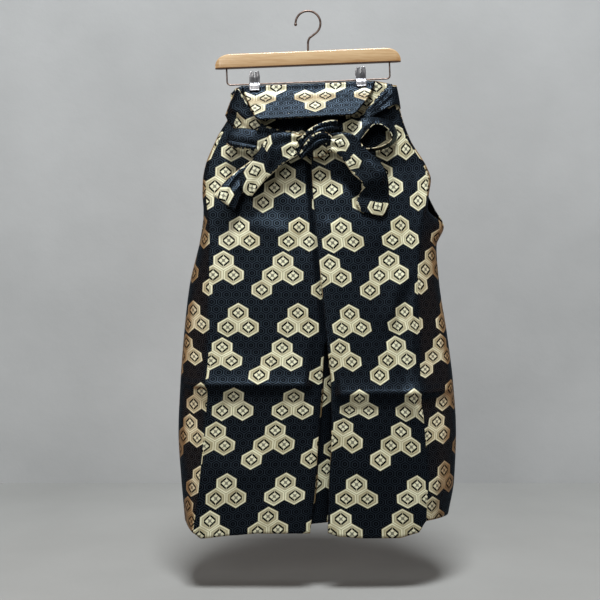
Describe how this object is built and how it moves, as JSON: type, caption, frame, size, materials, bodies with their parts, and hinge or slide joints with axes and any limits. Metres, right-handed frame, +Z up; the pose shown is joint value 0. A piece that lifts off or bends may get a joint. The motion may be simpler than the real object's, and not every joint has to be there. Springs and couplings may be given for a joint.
{
  "type": "hakama trousers on a wooden clip hanger",
  "caption": "Pleated divided trousers in hexagon brocade with side slits, a turned-down back board and a tied bow, held by the clips of a wooden hanger.",
  "frame": {"origin": "highest point inside the hanger's hook, where a rail carries it", "axes": "+Z up, +X to the right of a viewer who faces the garment's back, +Y from that viewer through the garment to its front"},
  "size_m": [0.5692, 0.1342, 1.0649],
  "materials": {
    "brocade": "black and navy brocade with gold hexagons, slight sheen",
    "maple": "clear satin lacquer",
    "steel": "polished nickel plate",
    "wire": "polished nickel plate, warm"
  },
  "bodies": {
    "root": {"back_panel_left": "brocade", "back_panel_right": "brocade", "front_panel_left": "brocade", "front_panel_right": "brocade", "inner_leg_left": "brocade", "inner_leg_right": "brocade", "back_board": "brocade", "tie_left": "brocade", "tie_right": "brocade", "bow_knot": "brocade", "bow_loop_left": "brocade", "bow_loop_right": "brocade", "bow_tail_left": "brocade", "bow_tail_under": "brocade", "bow_tail_right": "brocade", "front_waistband": "brocade", "hanger_bar": "maple", "hanger_hook": "steel", "hanger_wire": "wire", "clip_left_near": "steel", "clip_left_far": "steel", "clip_left_barrel": "steel", "clip_right_near": "steel", "clip_right_far": "steel", "clip_right_barrel": "steel"}
  },
  "joints": []
}
